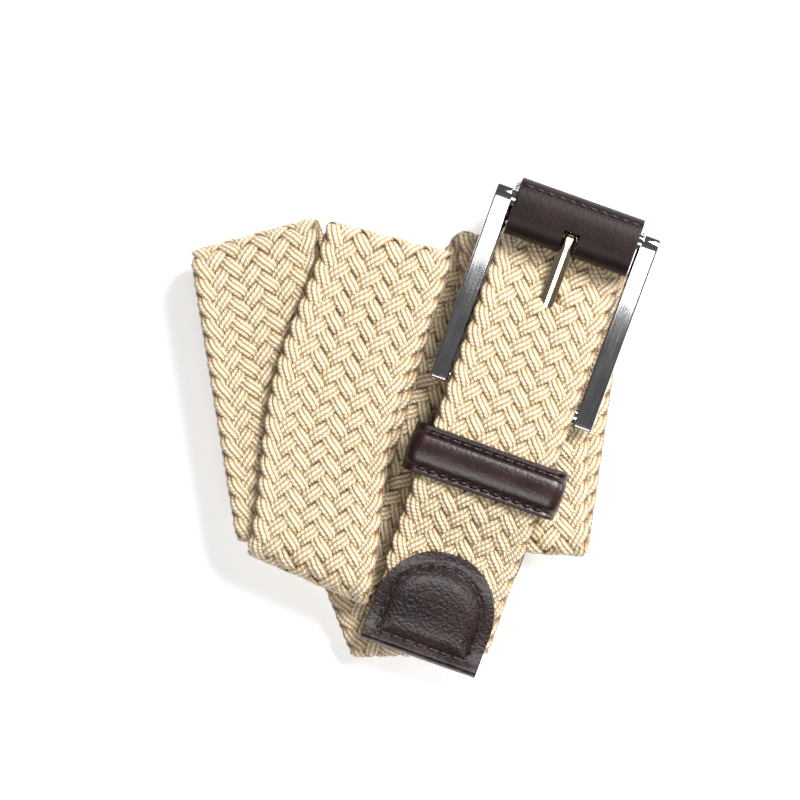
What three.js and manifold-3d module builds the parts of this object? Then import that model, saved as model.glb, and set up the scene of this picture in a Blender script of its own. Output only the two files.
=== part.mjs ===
// Braided elastic stretch belt with leather trim and a pin buckle,
// folded back and forth into a small flat stack and buckled over its own tip end.
// Millimetres, +Z up, standing on Z = 0 with its bounding box centred on the origin.
import * as THREE from 'three';
import { mergeVertices } from 'three/addons/utils/BufferGeometryUtils.js';
import Module from 'manifold-3d';

// Driving sizes
const STRAP_WIDTH = 35;
const STRAP_THICK = 3.2;
const LAYER_GAP = 0.3;
const FIT = 0.3;
const LEATHER = 1.2;
const FRAME_LENGTH = 56;
const BAR_WIDTH = 5.3;
const BAR_THICK = 3.2;
const BAR_BEVEL = 0.6;
const BAR_SAG = 1.2;
const SIDE_CLEAR = 0.5;
const FRAME_TILT = 9.5;
const PRONG_WIDTH = 4.2;
const PRONG_THICK = 2.2;
const EYE_WALL = 1.3;
const EYE_CLEAR = 0.35;
const KEEPER_BAND = 13.5;
const KEEPER_WALL = 1.7;
const KEEPER_DOME = 1.6;
const KEEPER_SLACK = 2.6;
const KEEPER_PLACE = 72;
const CAP_WIDTH = 33.2;
const CAP_STRAIGHT = 12;
const TAB_WIDTH = 36.8;
const TAB_LENGTH = 113;
const TUBE_INNER_END = 10;
const WALL_OUTER = 6;

// Heights of the middle of each strap layer above the surface
const HALF = STRAP_THICK / 2;
const STEP = STRAP_THICK + LAYER_GAP;
const TAB_LEVEL = LEATHER + FIT + HALF;
const BASE_LEVEL = TAB_LEVEL + HALF + FIT + LEATHER + LAYER_GAP + HALF;
const FLOOR_LEVEL = HALF;
const LOOP_LEVEL = FLOOR_LEVEL + 0.75 * STRAP_THICK;
const level = (steps) => BASE_LEVEL + steps * STEP;

// The buckle stands over the second layer: prong under the front bar, strap end over it
const PRONG_TIP_Z = level(2) + HALF + FIT + PRONG_THICK / 2;
const FRONT_BAR_Z = PRONG_TIP_Z + PRONG_THICK / 2 + FIT + BAR_THICK / 2;
const OVER_BAR = FRONT_BAR_Z + BAR_THICK / 2 + 1.4 * FIT + HALF;
const TILT = THREE.MathUtils.degToRad(FRAME_TILT);
const BAR_SPAN = FRAME_LENGTH - BAR_WIDTH;
const HEEL_Z = FRONT_BAR_Z + BAR_SPAN * Math.sin(TILT);
const TIP_LEVEL = BASE_LEVEL + HALF + LAYER_GAP + LEATHER + FIT + HALF + 0.2;

// Route of the strap: each run goes from the last turn to its own turn point.
// turn: x and y as shares of the strap width, bow: sideways sweep as a share of the width,
// along: shares of the run's length, height: height of the strap's middle at those shares.
const ROUTE = [
  { run: 'tab', turn: [0.16, -1.984], bow: 0, along: [0, 1], height: [TAB_LEVEL, TAB_LEVEL] },
  { run: 'lowest', turn: [-1.138, 1.27], bow: 0, along: [0, 0.46, 0.76, 1],
    height: [level(0), level(0), FLOOR_LEVEL, LOOP_LEVEL] },
  { run: 'left', turn: [-0.759, -1.095], bow: 0, along: [0, 1], height: [level(3), level(3)] },
  { run: 'left_inner', turn: [-0.085, 1.239], bow: 0, along: [0, 1], height: [level(2), level(2)] },
  { run: 'middle', turn: [-0.712, -1.371], bow: -0.12, along: [0, 1], height: [level(4), level(4)] },
  { run: 'crossing', turn: [0.95, 1.161], bow: 0, along: [0, 1], height: [level(1), level(1)] },
  { run: 'right', turn: [0.976, -1.161], bow: 0, along: [0, 1], height: [level(2), level(2)] },
  { run: 'right_inner', turn: [1.313, 1.254], bow: 0, along: [0, 1], height: [level(0), level(0)] },
  { run: 'tip', turn: [0.155, -1.96], bow: 0, along: [0, 0.13, 0.4, 0.58, 0.76, 1],
    height: [22.6 / 3.2 * STRAP_THICK, OVER_BAR + 0.3, OVER_BAR, OVER_BAR - 0.6,
      level(2) + STEP + 0.8, TIP_LEVEL] },
];
const HEEL = [1.36, 1.387];
const TAB_START_SHARE = 0.26;
const TIP_TAPER = 0.1;
const TAPER_LENGTH = 12;

const FOLD_STEPS = 8;
const RUN_STEP = 9;
const CURVED_STEP = 3;

const vec = (pair) => new THREE.Vector2(pair[0], pair[1]).multiplyScalar(STRAP_WIDTH);
const quarterTurn = (v) => new THREE.Vector2(-v.y, v.x);
const mix = (a, b, share) => a + (b - a) * share;
const smooth = (x) => {
  const t = Math.min(1, Math.max(0, x));
  return t * t * (3 - 2 * t);
};

// The straight line from the heel bar to the first turn carries the buckle and the leather tab
const heel = vec(HEEL);
const firstTurn = vec(ROUTE[0].turn);
const tabDirection = firstTurn.clone().sub(heel).normalize();
const tabStart = heel.clone().addScaledVector(tabDirection, TAB_START_SHARE * STRAP_WIDTH);

// Settle the folds: each is half a cylinder lying across the bisector of its two runs,
// and its run ends shift along it because the strap crosses it at a slant.
function settleRoute() {
  const turns = ROUTE.map((row) => vec(row.turn));
  const starts = [tabStart, ...turns.slice(0, -1)];
  const ends = turns.map((turn) => turn.clone());
  let folds = [];
  for (let pass = 0; pass < 25; pass += 1) {
    const ways = ends.map((end, i) => end.clone().sub(starts[i]).normalize());
    folds = turns.slice(0, -1).map((turn, i) => {
      const outward = ways[i].clone().sub(ways[i + 1]).normalize();
      const axis = quarterTurn(outward);
      const slant = ways[i].dot(axis);
      const square = ways[i].dot(outward);
      const below = ROUTE[i].height.at(-1);
      const above = ROUTE[i + 1].height[0];
      const radius = Math.abs(above - below) / 2;
      const shift = Math.PI * radius * slant / square;
      const enter = turn.clone().addScaledVector(outward, -radius).addScaledVector(axis, -shift / 2);
      const leave = enter.clone().addScaledVector(axis, shift);
      return { outward, axis, square, radius, shift, enter, leave, below, above };
    });
    folds.forEach((fold, i) => {
      ends[i] = fold.enter;
      starts[i + 1] = fold.leave;
    });
  }
  return ROUTE.map((row, i) => {
    const way = ends[i].clone().sub(starts[i]).normalize();
    const side = quarterTurn(way).multiplyScalar(i % 2 === 0 ? 1 : -1);
    return { ...row, start: starts[i], way, side, length: ends[i].distanceTo(starts[i]),
      before: folds[i - 1], after: folds[i] };
  });
}
const runs = settleRoute();

function runHeight(run, share) {
  const last = run.along.length - 2;
  const found = run.along.findIndex((_, i) => i <= last && share <= run.along[i + 1]);
  const i = found < 0 ? last : found;
  const local = (share - run.along[i]) / (run.along[i + 1] - run.along[i]);
  return mix(run.height[i], run.height[i + 1], smooth(local));
}

// How far along the run the edge point at offset w meets a fold's straight side
const lead = (run, fold, w) => (fold ? -w * run.side.dot(fold.outward) / run.way.dot(fold.outward) : 0);

// Middle of the strap on a run: share 0 to 1 along it, w to the side
function onRun(run, share, w) {
  const from = lead(run, run.before, w);
  const to = run.length + lead(run, run.after, w);
  const sway = run.bow * STRAP_WIDTH * 16 * share ** 2 * (1 - share) ** 2;
  const flat = run.start.clone()
    .addScaledVector(run.way, mix(from, to, share))
    .addScaledVector(run.side, w + sway * (run.side.dot(quarterTurn(run.way))));
  return new THREE.Vector3(flat.x, flat.y, runHeight(run, share));
}

// Middle of the strap on the fold after a run: turn 0 to 1 round the half cylinder
function onFold(run, turn, w) {
  const fold = run.after;
  const entry = lead(run, fold, w);
  const across = w * run.side.dot(fold.axis) + entry * run.way.dot(fold.axis);
  const angle = Math.PI * turn;
  const flat = fold.enter.clone()
    .addScaledVector(fold.outward, fold.radius * Math.sin(angle))
    .addScaledVector(fold.axis, across + fold.shift * turn);
  return new THREE.Vector3(flat.x, flat.y, mix(fold.below, fold.above, (1 - Math.cos(angle)) / 2));
}

// Point at height t above the strap's face, from a surface function of (share, w)
function lifted(surface, share, w, t) {
  const tiny = 1e-3;
  const ahead = surface(share + tiny, w).sub(surface(share - tiny, w));
  const aside = surface(share, w + tiny).sub(surface(share, w - tiny));
  const normal = ahead.cross(aside).normalize();
  return surface(share, w).addScaledVector(normal, t);
}

// Closed solid through a list of rings with equal point counts; capped unless it is a loop
function loft(rings, loop = false) {
  const points = rings.flat();
  const count = rings[0].length;
  const faces = [];
  const spans = loop ? rings.length : rings.length - 1;
  for (let i = 0; i < spans; i += 1) {
    const next = (i + 1) % rings.length;
    for (let j = 0; j < count; j += 1) {
      const k = (j + 1) % count;
      faces.push(i * count + j, next * count + j, next * count + k);
      faces.push(i * count + j, next * count + k, i * count + k);
    }
  }
  if (!loop) {
    const last = (rings.length - 1) * count;
    for (let j = 1; j < count - 1; j += 1) {
      faces.push(0, j, j + 1);
      faces.push(last, last + j + 1, last + j);
    }
  }
  const geometry = new THREE.BufferGeometry().setFromPoints(points);
  geometry.setIndex(signedVolume(points, faces) > 0 ? faces : faces.reverse());
  return geometry;
}

function signedVolume(points, faces) {
  let sum = 0;
  for (let i = 0; i < faces.length; i += 3) {
    const [a, b, c] = [points[faces[i]], points[faces[i + 1]], points[faces[i + 2]]];
    sum += a.dot(b.clone().cross(c));
  }
  return sum;
}

// Joining and cutting
const wasm = await Module();
wasm.setup();
function toSolid(geometry) {
  const bare = geometry.clone();
  bare.deleteAttribute('normal');
  bare.deleteAttribute('uv');
  const merged = mergeVertices(bare, 1e-5);
  return new wasm.Manifold(new wasm.Mesh({
    numProp: 3,
    vertProperties: new Float32Array(merged.attributes.position.array),
    triVerts: new Uint32Array(merged.index.array),
  }));
}
function toGeometry(solid) {
  const mesh = solid.getMesh();
  const geometry = new THREE.BufferGeometry();
  geometry.setAttribute('position', new THREE.BufferAttribute(mesh.vertProperties, 3));
  geometry.setIndex(new THREE.BufferAttribute(mesh.triVerts, 1));
  return geometry;
}

// Frame of the buckle: X along the heel bar, Y outwards past it, Z up, origin in the heel bar.
// upright leaves out the tilt, for the leather that stands on the surface.
const outwardAngle = Math.atan2(-tabDirection.x, -tabDirection.y);
const uprightFrame = new THREE.Matrix4()
  .makeRotationZ(-outwardAngle)
  .setPosition(heel.x, heel.y, 0);
const tiltedFrame = new THREE.Matrix4()
  .makeRotationZ(-outwardAngle)
  .multiply(new THREE.Matrix4().makeRotationX(TILT))
  .setPosition(heel.x, heel.y, HEEL_Z);

// Braided strap
function sectionPoints(width) {
  const rim = width / 2;
  const flat = rim - 0.5 * STRAP_THICK;
  return [
    [-rim, 0], [-rim + 0.12 * STRAP_THICK, -0.68 * HALF], [-flat, -HALF], [flat, -HALF],
    [rim - 0.12 * STRAP_THICK, -0.68 * HALF], [rim, 0], [rim - 0.12 * STRAP_THICK, 0.68 * HALF],
    [flat, HALF], [0, HALF], [-flat, HALF], [-rim + 0.12 * STRAP_THICK, 0.68 * HALF],
  ];
}
function strapWidthAt(run, share) {
  const left = run.length * (1 - share);
  const tapers = run.after ? 0 : smooth(1 - (left - CAP_STRAIGHT) / TAPER_LENGTH);
  return STRAP_WIDTH * (1 - TIP_TAPER * tapers);
}
function strapRings() {
  const rings = [];
  for (const run of runs) {
    const step = run.along.length > 2 ? CURVED_STEP : RUN_STEP;
    const count = Math.max(6, Math.round(run.length / step));
    const first = run.before ? 1 : 0;
    const last = run.after ? count - 1 : count;
    for (let i = first; i <= last; i += 1) {
      const share = i / count;
      const surface = (s, w) => onRun(run, s, w);
      rings.push(sectionPoints(strapWidthAt(run, share)).map(([w, t]) => lifted(surface, share, w, t)));
    }
    for (let i = 0; run.after && i <= FOLD_STEPS; i += 1) {
      const surface = (s, w) => onFold(run, s, w);
      rings.push(sectionPoints(STRAP_WIDTH).map(([w, t]) => lifted(surface, i / FOLD_STEPS, w, t)));
    }
  }
  return rings;
}

// Prong: an eye round the heel bar and a ridged shank that dips through the strap
const EYE_HEIGHT = BAR_THICK / 2 + EYE_CLEAR + EYE_WALL;
const shankStart = HEEL_Z + BAR_THICK / 2 + EYE_CLEAR + 0.35 * PRONG_THICK;
const shankEnd = -(BAR_SPAN + 0.5 * BAR_WIDTH - 0.2);
function shankRings(extra) {
  const underBar = (BAR_SPAN - 0.9 * BAR_WIDTH) / -shankEnd;
  const stations = [[0, 1, 0.7], [0.16, 1, 1], [0.5, 0.95, 1], [underBar, 0.8, 1], [1, 0.6, 1]];
  return stations.map(([share, size, body]) => {
    const y = mix(0, shankEnd - extra, share);
    const z = mix(shankStart, PRONG_TIP_Z, Math.min(1, share / underBar));
    const half = size * PRONG_WIDTH / 2 + extra;
    const top = body * PRONG_THICK / 2 + extra;
    const outline = [[-half, -0.3 * top], [-0.6 * half, -top], [0.6 * half, -top], [half, -0.3 * top],
      [0.72 * half, 0.6 * top], [0, top], [-0.72 * half, 0.6 * top]];
    return outline.map(([x, up]) => new THREE.Vector3(x, y, z + up).applyMatrix4(uprightFrame));
  });
}
function eyeRings() {
  const rings = [];
  const middleY = BAR_WIDTH / 2 + EYE_CLEAR + EYE_WALL / 2;
  const middleZ = BAR_THICK / 2 + EYE_CLEAR + EYE_WALL / 2;
  for (let i = 0; i < 20; i += 1) {
    const angle = i / 20 * 2 * Math.PI;
    const reach = (part) => part * EYE_WALL / 2;
    rings.push([[-1, -1], [1, -1], [1, 1], [-1, 1]].map(([x, r]) => new THREE.Vector3(
      x * 0.45 * PRONG_WIDTH,
      (middleY + reach(r)) * Math.cos(angle),
      HEEL_Z + (middleZ + reach(r)) * Math.sin(angle),
    ).applyMatrix4(uprightFrame)));
  }
  return rings;
}

// Buckle frame: two bowed side bars, the round-edged heel bar and the front bar
const FRAME_WIDTH = STRAP_WIDTH + 2 * (SIDE_CLEAR + BAR_WIDTH);
function sideBar(sign) {
  const back = BAR_WIDTH / 2 - BAR_BEVEL;
  const front = back - FRAME_LENGTH + 2 * BAR_BEVEL;
  const high = BAR_THICK / 2 - BAR_BEVEL;
  const sag = (y) => -4 * BAR_SAG * (back - y) * (y - front) / (back - front) ** 2;
  const shape = new THREE.Shape();
  shape.moveTo(front, -high);
  for (let i = 1; i <= 8; i += 1) {
    const y = mix(front, back, i / 8);
    shape.lineTo(y, -high + sag(y));
  }
  shape.lineTo(back, 0.1 * high);
  for (let i = 7; i >= 0; i -= 1) {
    const y = mix(front, back - high, i / 7);
    shape.lineTo(y, high + sag(y));
  }
  const bar = new THREE.ExtrudeGeometry(shape, {
    depth: BAR_WIDTH - 2 * BAR_BEVEL, bevelEnabled: true, bevelSegments: 2,
    bevelSize: BAR_BEVEL, bevelThickness: BAR_BEVEL, steps: 1,
  });
  const toBuckle = new THREE.Matrix4().makeBasis(
    new THREE.Vector3(0, 1, 0), new THREE.Vector3(0, 0, 1), new THREE.Vector3(1, 0, 0));
  const centre = sign * (FRAME_WIDTH - BAR_WIDTH) / 2;
  toBuckle.setPosition(centre - BAR_WIDTH / 2 + BAR_BEVEL, 0, 0);
  return bar.applyMatrix4(toBuckle);
}
function crossBar(y, width, thick) {
  const bar = new THREE.CylinderGeometry(1, 1, FRAME_WIDTH - BAR_WIDTH, 16);
  bar.rotateZ(Math.PI / 2);
  bar.scale(1, thick / 2, width / 2);
  bar.rotateX(Math.PI / 2);
  return bar.translate(0, y, 0);
}
function frameGeometry() {
  const parts = [sideBar(-1), sideBar(1), crossBar(0, 0.96 * BAR_WIDTH, BAR_THICK),
    crossBar(-BAR_SPAN, 0.96 * BAR_WIDTH, 0.96 * BAR_THICK)].map(toSolid);
  const joined = parts.reduce((sum, part) => sum.add(part));
  return toGeometry(joined).applyMatrix4(tiltedFrame);
}

// Leather tab: one strip laid along the strap's underside, up the outside of the stack,
// round the heel bar and back down onto the strap's upper side. Rows are [outwards, up].
const leafUp = TAB_LEVEL + HALF + FIT + LEATHER / 2;
const leafDown = LEATHER / 2;
const wallOut = WALL_OUTER - LEATHER / 2;
const wallIn = wallOut - LEATHER - FIT;
const bendRadius = 6.4 / 1.2 * LEATHER;
function arcRow(centreY, centreZ, radius, fromDegrees, toDegrees, steps) {
  return Array.from({ length: steps + 1 }, (_, i) => {
    const angle = THREE.MathUtils.degToRad(mix(fromDegrees, toDegrees, i / steps));
    return [centreY + radius * Math.cos(angle), centreZ + radius * Math.sin(angle)];
  });
}
function tabPath() {
  const bendY = wallOut - bendRadius;
  const bendZ = leafDown + bendRadius;
  const inner = bendRadius - LEATHER - FIT;
  const strapEnd = -TAB_START_SHARE * STRAP_WIDTH;
  const reach = (wallOut + TUBE_INNER_END - LEATHER / 2) / 2;
  const middle = wallOut - reach;
  const rise = EYE_HEIGHT + FIT + LEATHER / 2 + 0.4;
  const bulge = (degrees) => {
    const angle = THREE.MathUtils.degToRad(degrees);
    const swell = (value) => Math.sign(value) * Math.abs(value) ** (2 / 2.6);
    return [middle + reach * swell(Math.cos(angle)), HEEL_Z + rise * swell(Math.sin(angle))];
  };
  const under = new THREE.CubicBezierCurve(
    new THREE.Vector2(wallIn, HEEL_Z - 2.1 * rise), new THREE.Vector2(wallIn, HEEL_Z - 1.1 * rise),
    new THREE.Vector2(mix(middle, wallIn, 0.7), HEEL_Z - rise), new THREE.Vector2(middle, HEEL_Z - rise),
  ).getPoints(5).map((point) => [point.x, point.y]);
  const round = Array.from({ length: 17 }, (_, i) => bulge(-90 - 270 * (i + 1) / 17));
  const settle = [0.25, 0.5, 0.75].map((share) => [
    mix(strapEnd + 1, bendY, share), mix(leafUp, bendZ - inner, smooth(share))]);
  return [
    ...settle,
    ...arcRow(bendY, bendZ, inner, -90, 0, 5),
    ...under,
    ...round,
    ...arcRow(bendY, bendZ, bendRadius, 0, -90, 6),
  ];
}
// Leaf stations run to the round end: [outwards, half width]
function leafEnd(width, length) {
  const radius = width / 2;
  const stations = [];
  for (let i = 0; i <= 8; i += 1) {
    const angle = (1 - i / 8) * Math.PI / 2 * 0.97;
    stations.push([radius - length - radius * Math.sin(angle), radius * Math.cos(angle)]);
  }
  return stations;
}
function stripRings(path, place) {
  return path.map(([y, z, half], i) => {
    const before = path[Math.max(0, i - 1)];
    const after = path[Math.min(path.length - 1, i + 1)];
    const turn = Math.hypot(after[0] - before[0], after[1] - before[1]);
    const up = [-(after[1] - before[1]) / turn, (after[0] - before[0]) / turn];
    const corner = 0.3 * LEATHER;
    const outline = [[-half, -0.5 + 0.3], [-half + corner, -0.5], [half - corner, -0.5], [half, -0.5 + 0.3],
      [half, 0.5 - 0.3], [half - corner, 0.5], [-half + corner, 0.5], [-half, 0.5 - 0.3]];
    return outline.map(([x, t]) => place(x, y + up[0] * t * LEATHER, z + up[1] * t * LEATHER));
  });
}
function tabGeometry() {
  const stations = leafEnd(TAB_WIDTH, TAB_LENGTH);
  const inFrame = STRAP_WIDTH / 2 - 0.1;
  const upper = stations.map(([y, half]) => [y, leafUp, half]);
  const lower = stations.map(([y, half]) => [y, leafDown, half]).reverse();
  const leaf = TAB_WIDTH / 2;
  const body = tabPath().map(([y, z]) => [y, z, mix(leaf, inFrame, smooth(z / HEEL_Z * 1.6))]);
  const rest = -TAB_START_SHARE * STRAP_WIDTH;
  const path = [...upper, [2 * rest, leafUp, leaf], [rest + 1, leafUp, leaf], ...body,
    [2 * rest, leafDown, leaf], ...lower];
  const place = (x, y, z) => new THREE.Vector3(x, y, z).applyMatrix4(uprightFrame);
  const strip = toSolid(loft(stripRings(path, place)));
  const slotWidth = PRONG_WIDTH + 4 * FIT;
  const slot = new THREE.BoxGeometry(slotWidth, TUBE_INNER_END, 3 * EYE_HEIGHT);
  slot.translate(0, -EYE_HEIGHT - EYE_WALL - TUBE_INNER_END / 2 + 0.6, HEEL_Z + 0.2 * EYE_HEIGHT);
  return toGeometry(strip.subtract(toSolid(slot.applyMatrix4(uprightFrame))));
}

// Keeper loop round the tip run, padded on its upper side
const tipRun = runs.at(-1);
function tipFrame(distanceFromHeel) {
  const along = distanceFromHeel - tipRun.start.distanceTo(heel);
  const share = along / tipRun.length;
  const origin = onRun(tipRun, share, 0);
  const ahead = onRun(tipRun, share + 0.05, 0).sub(onRun(tipRun, share - 0.05, 0)).normalize();
  const side = new THREE.Vector3(tipRun.side.x, tipRun.side.y, 0);
  const normal = ahead.clone().cross(side).normalize();
  return new THREE.Matrix4().makeBasis(ahead, side, normal).setPosition(origin);
}
function keeperRings() {
  const halfWide = STRAP_WIDTH / 2 + KEEPER_SLACK + KEEPER_WALL / 2;
  const halfHigh = HALF + FIT + KEEPER_WALL / 2;
  const corner = 0.9 * halfHigh;
  const flat = halfWide - corner;
  const upright = halfHigh - corner;
  const loop = [];
  const topSteps = 8;
  for (let i = 0; i <= topSteps; i += 1) loop.push([mix(-flat, flat, i / topSteps), halfHigh, 0, 1]);
  loop.push([flat + 0.7 * corner, upright + 0.7 * corner, 0.7, 0.7], [halfWide, 0, 1, 0]);
  loop.push([flat + 0.7 * corner, -upright - 0.7 * corner, 0.7, -0.7], [flat, -halfHigh, 0, -1]);
  loop.push([-flat, -halfHigh, 0, -1], [-flat - 0.7 * corner, -upright - 0.7 * corner, -0.7, -0.7]);
  loop.push([-halfWide, 0, -1, 0], [-flat - 0.7 * corner, upright + 0.7 * corner, -0.7, 0.7]);
  const band = KEEPER_BAND / 2;
  const place = tipFrame(KEEPER_PLACE);
  return loop.map(([w, t, outW, outT]) => {
    const dome = outT > 0.5 ? KEEPER_DOME * outT : 0;
    const rows = [[-band, -0.5, 0], [band, -0.5, 0], [band, 0.3, 0], [0.62 * band, 0.5, 0.6],
      [0, 0.5, 1], [-0.62 * band, 0.5, 0.6], [-band, 0.3, 0]];
    return rows.map(([s, part, padded]) => {
      const lift = part * KEEPER_WALL + padded * dome;
      return new THREE.Vector3(s, w + outW * lift, t + outT * lift).applyMatrix4(place);
    });
  });
}

// Tip cap: leather folded over the strap's end, with a round-topped leaf on each face
function capGeometry() {
  const offset = HALF + FIT + LEATHER / 2;
  const end = tipRun.length + FIT;
  const radius = CAP_WIDTH / 2;
  const leaf = [];
  for (let i = 0; i <= 7; i += 1) {
    const angle = (1 - i / 7) * Math.PI / 2 * 0.97;
    leaf.push([end - CAP_STRAIGHT - radius * Math.sin(angle), radius * Math.cos(angle)]);
  }
  leaf.push([end - CAP_STRAIGHT / 2, radius], [end, radius]);
  const upper = leaf.map(([s, half]) => [s, offset, half]);
  const lower = leaf.map(([s, half]) => [s, -offset, half]).reverse();
  const bend = [60, 30, 0, -30, -60].map((degrees) => {
    const angle = THREE.MathUtils.degToRad(degrees);
    return [end + 1.2 * offset * Math.cos(angle) ** 0.5 - HALF, offset * Math.sin(angle), radius];
  });
  const surface = (share, w) => onRun(tipRun, share, w);
  const place = (w, s, t) => lifted(surface, s / tipRun.length, w, t);
  return loft(stripRings([...upper, ...bend, ...lower], place));
}

// Materials and assembly
const finish = (color, roughness, metalness) => new THREE.MeshStandardMaterial({ color, roughness, metalness });
const braid = finish(0xd9c39a, 0.7, 0);
const leather = finish(0x2e1c1b, 0.45, 0);
const brushed = finish(0xb9b9bb, 0.35, 1);
const polished = finish(0xcfc4ac, 0.12, 1);

const belt = new THREE.Group();
function addPiece(name, geometry, material) {
  const mesh = new THREE.Mesh(geometry, material);
  mesh.name = name;
  belt.add(mesh);
  return mesh;
}
const eye = toSolid(loft(eyeRings(), true));
const shank = toSolid(loft(shankRings(0)));
const strapSolid = toSolid(loft(strapRings())).subtract(toSolid(loft(shankRings(FIT))));
addPiece('braided_strap', toGeometry(strapSolid), braid);
addPiece('buckle_tab', tabGeometry(), leather);
addPiece('buckle_frame', frameGeometry(), brushed);
addPiece('prong', toGeometry(eye.add(shank)), polished);
addPiece('keeper_loop', loft(keeperRings(), true), leather);
addPiece('tip_cap', capGeometry(), leather);

// Stand the belt on the surface, centred on the origin
const box = new THREE.Box3().setFromObject(belt);
const centre = box.getCenter(new THREE.Vector3());
belt.position.set(-centre.x, -centre.y, -box.min.z);

export default belt;
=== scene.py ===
"""A braided elastic stretch belt with leather trim and a pin buckle.

It lies folded back and forth into a small flat stack, buckled over its own tip end.
"""

import bpy
import numpy as np
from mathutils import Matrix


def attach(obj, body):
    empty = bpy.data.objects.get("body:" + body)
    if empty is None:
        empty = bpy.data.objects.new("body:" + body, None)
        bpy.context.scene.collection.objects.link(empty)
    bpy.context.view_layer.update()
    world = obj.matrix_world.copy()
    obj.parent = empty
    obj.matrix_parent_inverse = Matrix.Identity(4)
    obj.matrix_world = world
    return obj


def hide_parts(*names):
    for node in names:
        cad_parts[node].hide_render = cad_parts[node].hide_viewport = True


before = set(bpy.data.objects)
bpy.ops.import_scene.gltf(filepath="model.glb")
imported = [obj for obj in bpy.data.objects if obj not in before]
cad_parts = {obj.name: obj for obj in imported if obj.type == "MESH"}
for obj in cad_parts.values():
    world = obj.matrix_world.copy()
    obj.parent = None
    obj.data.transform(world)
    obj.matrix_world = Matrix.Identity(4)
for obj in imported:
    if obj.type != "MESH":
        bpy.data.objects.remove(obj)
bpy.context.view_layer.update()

# Camera: the stack is seen from straight above, with a long lens.
# The picture's middle lies a little left of the belt's middle, at the height of the upper layers.
PICTURE_MIDDLE = (-0.00667, 0.00806)
CAMERA_HEIGHT = 0.9
PICTURE_WIDTH = 0.2168
PICTURE_LEVEL = 0.024
camera = bpy.data.cameras.new("camera")
camera.sensor_width = 36
camera.lens = 36 * (CAMERA_HEIGHT - PICTURE_LEVEL) / PICTURE_WIDTH
camera_object = bpy.data.objects.new("camera", camera)
camera_object.location = (*PICTURE_MIDDLE, CAMERA_HEIGHT)
bpy.context.collection.objects.link(camera_object)
bpy.context.scene.camera = camera_object

# Braided strap: 17 covered elastic cords plaited flat, each over two and under two of the others.
# Every cord runs the whole length and zigzags between the strap's edges.
# The strap itself is folded into nine runs, joined by eight half-round folds.
STRAP_WIDTH = 0.035
STRAP_THICK = 0.0032
LAYER_GAP = 0.0003
FIT = 0.0003
LEATHER = 0.0012
BAR_WIDTH = 0.0053
BAR_THICK = 0.0032
PRONG_THICK = 0.0022
FRAME_LENGTH = 0.056
BAR_SPAN = FRAME_LENGTH - BAR_WIDTH
TILT = np.radians(9.5)
HALF = STRAP_THICK / 2
LAYER = STRAP_THICK + LAYER_GAP
TAB_LEVEL = LEATHER + FIT + HALF
BASE_LEVEL = TAB_LEVEL + HALF + FIT + LEATHER + LAYER_GAP + HALF
PRONG_TIP_Z = BASE_LEVEL + 2 * LAYER + HALF + FIT + PRONG_THICK / 2
FRONT_BAR_Z = PRONG_TIP_Z + PRONG_THICK / 2 + FIT + BAR_THICK / 2
OVER_BAR = FRONT_BAR_Z + BAR_THICK / 2 + 1.4 * FIT + HALF
HEEL_Z = FRONT_BAR_Z + BAR_SPAN * np.sin(TILT)
TIP_LEVEL = BASE_LEVEL + HALF + LAYER_GAP + LEATHER + FIT + HALF + 0.0002
FLOOR_LEVEL = HALF
LOOP_LEVEL = FLOOR_LEVEL + 0.75 * STRAP_THICK
STACK_PLACE = np.array([-0.0066668, 0.0080555])
STRAP_START = 0.26 * STRAP_WIDTH

heel = STACK_PLACE + np.array([1.36, 1.387]) * STRAP_WIDTH
turns = STACK_PLACE + STRAP_WIDTH * np.array([
    [0.16, -1.984], [-1.138, 1.27], [-0.759, -1.095], [-0.085, 1.239], [-0.712, -1.371],
    [0.95, 1.161], [0.976, -1.161], [1.313, 1.254], [0.155, -1.96]])
bows = np.array([0, 0, 0, 0, -0.12, 0, 0, 0, 0]) * STRAP_WIDTH
alongs = [[0, 1]] * 9
alongs[1] = [0, 0.46, 0.76, 1]
alongs[8] = [0, 0.13, 0.4, 0.58, 0.76, 1]
heights = [[BASE_LEVEL + steps * LAYER] * 2 for steps in (0, 0, 3, 2, 4, 1, 2, 0, 0)]
heights[0] = [TAB_LEVEL, TAB_LEVEL]
heights[1] = [BASE_LEVEL, BASE_LEVEL, FLOOR_LEVEL, LOOP_LEVEL]
heights[8] = [0.0226, OVER_BAR + 0.0003, OVER_BAR, OVER_BAR - 0.0006,
              BASE_LEVEL + 3 * LAYER + 0.0008, TIP_LEVEL]


def unit(vectors):
    """Each vector divided by its length."""
    return vectors / np.linalg.norm(vectors, axis=-1, keepdims=True)


def quarter_turn(vectors):
    """Each flat vector turned a quarter turn to the left."""
    return np.stack([-vectors[..., 1], vectors[..., 0]], axis=-1)


def dot(a, b):
    """Dot product of matching rows."""
    return (a * b).sum(-1)


def smooth(x):
    """The curve 3x^2 - 2x^3, held at 0 and 1 outside its range."""
    x = np.clip(x, 0, 1)
    return x * x * (3 - 2 * x)


def mix(a, b, share):
    """A straight blend from a to b."""
    return a + (b - a) * share


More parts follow.
